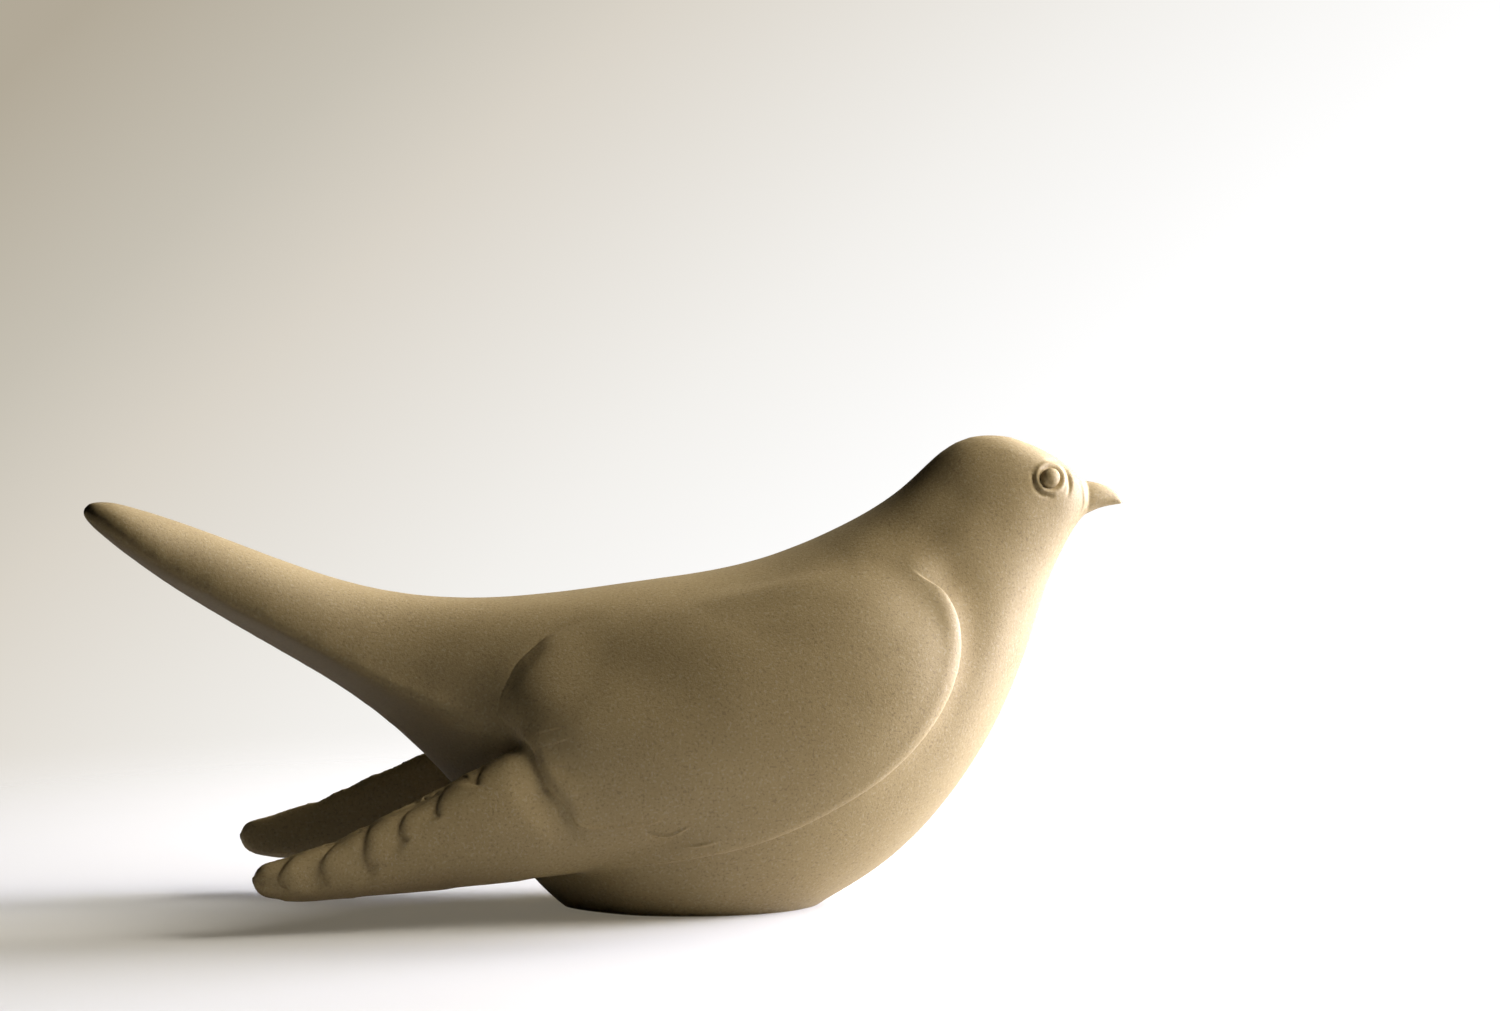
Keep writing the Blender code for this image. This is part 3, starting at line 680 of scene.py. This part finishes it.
def rangeNode(tree, spot, value, source, target=(0.0, 1.0), smooth=False):
    # a value between the two of the source becomes one between the two of the target
    node = newNode(tree, "MapRange", spot)
    node.interpolation_type = "SMOOTHSTEP" if smooth else "LINEAR"
    ends = {"From Min": source[0], "From Max": source[1], "To Min": target[0], "To Max": target[1]}
    return feed(tree, node, {"Value": value, **ends}).outputs["Result"]


def partsNode(tree, spot, value):
    return newNode(tree, "SeparateXYZ", spot, {0: value}).outputs


# Rubbed sandstone: fine speckle and faint clouds, matt
sandstone = {
    "pale": (0.355, 0.262, 0.120, 1),
    "deep": (0.290, 0.209, 0.090, 1),
    "toneRange": (0.36, 0.64),  # from the deep tone to the pale one
    "grainPart": 0.65,          # what the grain and the clouds each add to the tone
    "cloudPart": 0.35,
    "darkGrain": (0.180, 0.125, 0.060, 1),
    "lightGrain": (0.42, 0.34, 0.20, 1),
    "darkRange": (0.66, 0.72),  # only the strongest specks show
    "paleRange": (0.34, 0.28),
    "darkShare": 0.42,          # how much a dark grain shows through the rubbed face
    "paleShare": 0.40,
    "underside": (0.135, 0.092, 0.040, 1),  # painted shade: a darker tone where the rump and tail face down
    "paintedShadeShare": 0.65,
    "underFacing": (-0.35, -0.75),
    "underFrom": (-0.075, -0.125),
    "grainScale": 680,
    "speckScale": 1.15,         # times the grain's
    "cloudScale": 22,
    "roughness": 0.72,
    "specular": 0.45,
    "bump": 0.38,
    "bumpDepth": 0.0004,
}


def noiseNode(tree, spot, place, scale, **sockets):
    node = newNode(tree, "TexNoise", spot, {"Vector": place, "Scale": scale, **sockets})
    return node.outputs["Fac"]


def makeSandstone():
    material = bpy.data.materials.new("sandstone")
    material.use_nodes = True
    tree = material.node_tree
    surface = tree.nodes["Principled BSDF"]
    place = newNode(tree, "TexCoord", (-1400, 0)).outputs["Object"]
    grain = noiseNode(tree, (-1100, 200), place, sandstone["grainScale"], Detail=3.0, Roughness=0.75)
    cloud = noiseNode(tree, (-1100, -100), place, sandstone["cloudScale"], Detail=5.0, Roughness=0.7)
    speckScale = sandstone["grainScale"] * sandstone["speckScale"]
    specks = noiseNode(tree, (-1100, -400), place, speckScale, Detail=0.0)

    # grain and clouds together give the tone
    grainPart = mathNode(tree, (-950, 300), "MULTIPLY", grain, sandstone["grainPart"])
    both = mathNode(tree, (-950, 50), "MULTIPLY_ADD", cloud, sandstone["cloudPart"], grainPart)
    spread = rangeNode(tree, (-850, 200), both, sandstone["toneRange"])
    tone = mixNode(tree, (-600, 200), spread, sandstone["deep"], sandstone["pale"])

    # single dark and pale grains
    darkSpots = rangeNode(tree, (-850, -400), specks, sandstone["darkRange"], (0.0, sandstone["darkShare"]))
    tone = mixNode(tree, (-350, 100), darkSpots, tone, sandstone["darkGrain"])
    paleSpots = rangeNode(tree, (-850, -650), specks, sandstone["paleRange"], (0.0, sandstone["paleShare"]))
    tone = mixNode(tree, (-150, 100), paleSpots, tone, sandstone["lightGrain"])

    # painted shade: the stone is darkened where the rump, the tail and the blades face down
    normal = newNode(tree, "NewGeometry", (-850, -900)).outputs["Normal"]
    upward = partsNode(tree, (-650, -900), normal)["Z"]
    forward = partsNode(tree, (-850, -1150), place)["X"]
    below = rangeNode(tree, (-450, -900), upward, sandstone["underFacing"], (0.0, sandstone["paintedShadeShare"]))
    rear = rangeNode(tree, (-650, -1150), forward, sandstone["underFrom"])
    paintedShadeMask = mathNode(tree, (-250, -1000), "MULTIPLY", below, rear)
    tone = mixNode(tree, (50, 100), paintedShadeMask, tone, sandstone["underside"])

    bump = newNode(tree, "Bump", (-150, -300), {"Strength": sandstone["bump"], "Height": grain})
    bump.inputs["Distance"].default_value = sandstone["bumpDepth"]
    feed(tree, surface, {"Base Color": tone, "Normal": bump.outputs["Normal"]})
    surface.inputs["Roughness"].default_value = sandstone["roughness"]
    surface.inputs["Specular IOR Level"].default_value = sandstone["specular"]
    return material


statue.data.materials.clear()
statue.data.materials.append(makeSandstone())
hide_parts("cuckoo")
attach(statue, "root")
print("stone: finished with sandstone")

# Floor and backdrop
stage = {
    "floorReach": 3.0,
    "paper": (0.62, 0.612, 0.592),
    "haze": (0.135, 0.121, 0.094),  # light on the paper from the rest of the room
    "hazeLift": 0.0002,         # the haze lies this far above the paper
    "floorGlow": 0.30,          # painted light: the paper glows towards the right, as if burnt out by the window
    "glowRange": (0.12, 0.45),
    "floorFull": 0.33,          # radius up to which the floor is solid
    "floorGone": 0.80,          # radius at which it has faded into the backdrop
    "domeRadius": 7.0,
    "domeLean": -1.1,           # the backdrop's tones run slantwise, lighter to the right and down
    "domeRange": (-0.93, 1.73),
    "domeTones": [(0, (0.445, 0.397, 0.314)), (0.23, (0.571, 0.533, 0.456)), (0.39, (0.70, 0.655, 0.58)),
                  (0.73, (0.896, 0.879, 0.847)), (1, (1.02, 1.02, 1.02))],
}


def stageMaterial(name, build):
    # the build function returns the shader of the surface
    material = bpy.data.materials.new(name)
    material.use_nodes = True
    tree = material.node_tree
    tree.nodes.clear()
    place = newNode(tree, "TexCoord", (-1000, 0)).outputs["Object"]
    newNode(tree, "OutputMaterial", (600, 0), {"Surface": build(tree, place)})
    return material


def floorFade(tree, place, start, end):
    # from the start value in the middle of the floor to the end value far out
    away = newNode(tree, "VectorMath", (-700, 0), {0: place})
    away.operation = "LENGTH"
    radii = (stage["floorFull"], stage["floorGone"])
    return rangeNode(tree, (-500, 0), away.outputs["Value"], radii, (start, end), smooth=True)


def floorNodes(tree, place):
    fade = floorFade(tree, place, 0.0, 1.0)
    paper = newNode(tree, "BsdfDiffuse", (-200, 100), {"Color": (*stage["paper"], 1)}).outputs[0]
    clear = newNode(tree, "BsdfTransparent", (-200, -100)).outputs[0]
    # painted light: the paper glows more and more towards the right
    forward = partsNode(tree, (-700, 300), place)["X"]
    bright = rangeNode(tree, (-500, 300), forward, stage["glowRange"], (0.0, stage["floorGlow"]), smooth=True)
    glow = newNode(tree, "Emission", (-200, 300), {"Strength": bright}).outputs[0]
    lit = newNode(tree, "AddShader", (0, 200), {0: paper, 1: glow}).outputs[0]
    return newNode(tree, "MixShader", (200, 0), {0: fade, 1: lit, 2: clear}).outputs[0]


def hazeNodes(tree, place):
    fade = floorFade(tree, place, 1.0, 0.0)
    glow = newNode(tree, "Emission", (-200, 100), {"Color": (*stage["haze"], 1), "Strength": fade}).outputs[0]
    clear = newNode(tree, "BsdfTransparent", (-200, -100)).outputs[0]
    return newNode(tree, "AddShader", (200, 0), {0: glow, 1: clear}).outputs[0]


def domeNodes(tree, place):
    parts = partsNode(tree, (-800, 0), place)
    lean = mathNode(tree, (-700, -100), "MULTIPLY_ADD", parts["Z"], stage["domeLean"], parts["X"])
    across = rangeNode(tree, (-600, 0), lean, stage["domeRange"])
    tones = newNode(tree, "ValToRGB", (-400, 0), {"Fac": across})
    stops = tones.color_ramp.elements
    while len(stops) < len(stage["domeTones"]):
        stops.new(0.5)
    for stop, (spot, tone) in zip(stops, stage["domeTones"]):
        stop.position = spot
        stop.color = (*tone, 1)
    return newNode(tree, "Emission", (0, 0), {"Color": tones.outputs["Color"], "Strength": 1.0}).outputs[0]


def onlySeen(obj):
    # shows behind the bird without lighting it or casting a shadow
    obj.visible_diffuse = obj.visible_glossy = obj.visible_shadow = obj.visible_transmission = False


bpy.ops.object.select_all(action="DESELECT")
bpy.ops.mesh.primitive_plane_add(size=2 * stage["floorReach"], location=(0, 0, 0))
floor = bpy.context.object
floor.name = "studioFloor"
floor.data.materials.append(stageMaterial("palePaper", floorNodes))
bpy.ops.mesh.primitive_plane_add(size=2 * stage["floorReach"], location=(0, 0, 0))
haze = bpy.context.object
haze.name = "studioFloorHaze"
for corner in haze.data.vertices:
    corner.co.z = stage["hazeLift"]
haze.data.materials.append(stageMaterial("paperHaze", hazeNodes))
onlySeen(haze)
bpy.ops.mesh.primitive_uv_sphere_add(segments=64, ring_count=32, radius=stage["domeRadius"],
                                     location=(0, 0, 0))
dome = bpy.context.object
dome.name = "studioBackdrop"
bpy.ops.object.shade_smooth()
dome.data.materials.append(stageMaterial("backdropGlow", domeNodes))
onlySeen(dome)
print("stage: floor and backdrop")

# Light: a wide soft window ahead of the bird in three parts, all aimed at its middle, and a dim room
light = {
    "aim": (0, 0, 0.12),
    "low": {"spot": (1.743, 0.371, 0.42), "size": 0.8, "power": 88, "tone": (0.92, 0.985, 1.33)},
    "front": {"spot": (1.493, -0.317, 1.074), "size": 0.8, "power": 40, "tone": (1.03, 0.98, 0.90)},
    "back": {"spot": (1.30, 0.78, 1.074), "size": 0.9, "power": 45, "tone": (1.0, 0.985, 0.955)},
    "room": (0.003, 0.003, 0.003),
}
world = bpy.data.worlds.new("room")
bpy.context.scene.world = world
world.use_nodes = True
world.node_tree.nodes["Background"].inputs["Color"].default_value = (*light["room"], 1)
world.node_tree.nodes["Background"].inputs["Strength"].default_value = 1.0
for name in ("low", "front", "back"):
    made = light[name]
    bpy.ops.object.light_add(type="AREA", location=made["spot"])
    lamp = bpy.context.object
    lamp.name = name + "Light"
    lamp.data.shape = "SQUARE"
    lamp.data.size = made["size"]
    lamp.data.energy = made["power"]
    lamp.data.color = made["tone"]
    lamp.rotation_euler = (Vector(light["aim"]) - lamp.location).to_track_quat("-Z", "Y").to_euler()

# Camera as in the photograph: a little from the tail's side, a little from above
view = {"turn": -8.0, "rise": 4.2, "distance": 2.5, "aim": (0.03244538, 0, 0.19976083),
        "lens": 120, "film": 36}
turn, rise = math.radians(view["turn"]), math.radians(view["rise"])
toCamera = Vector((math.sin(turn) * math.cos(rise), -math.cos(turn) * math.cos(rise), math.sin(rise)))
bpy.ops.object.camera_add(location=Vector(view["aim"]) + toCamera * view["distance"])
camera = bpy.context.object
camera.rotation_euler = (-toCamera).to_track_quat("-Z", "Y").to_euler()
camera.data.lens = view["lens"]
camera.data.sensor_width = view["film"]
bpy.context.scene.camera = camera
bpy.context.scene.view_settings.view_transform = "Standard"
print("camera and light set")
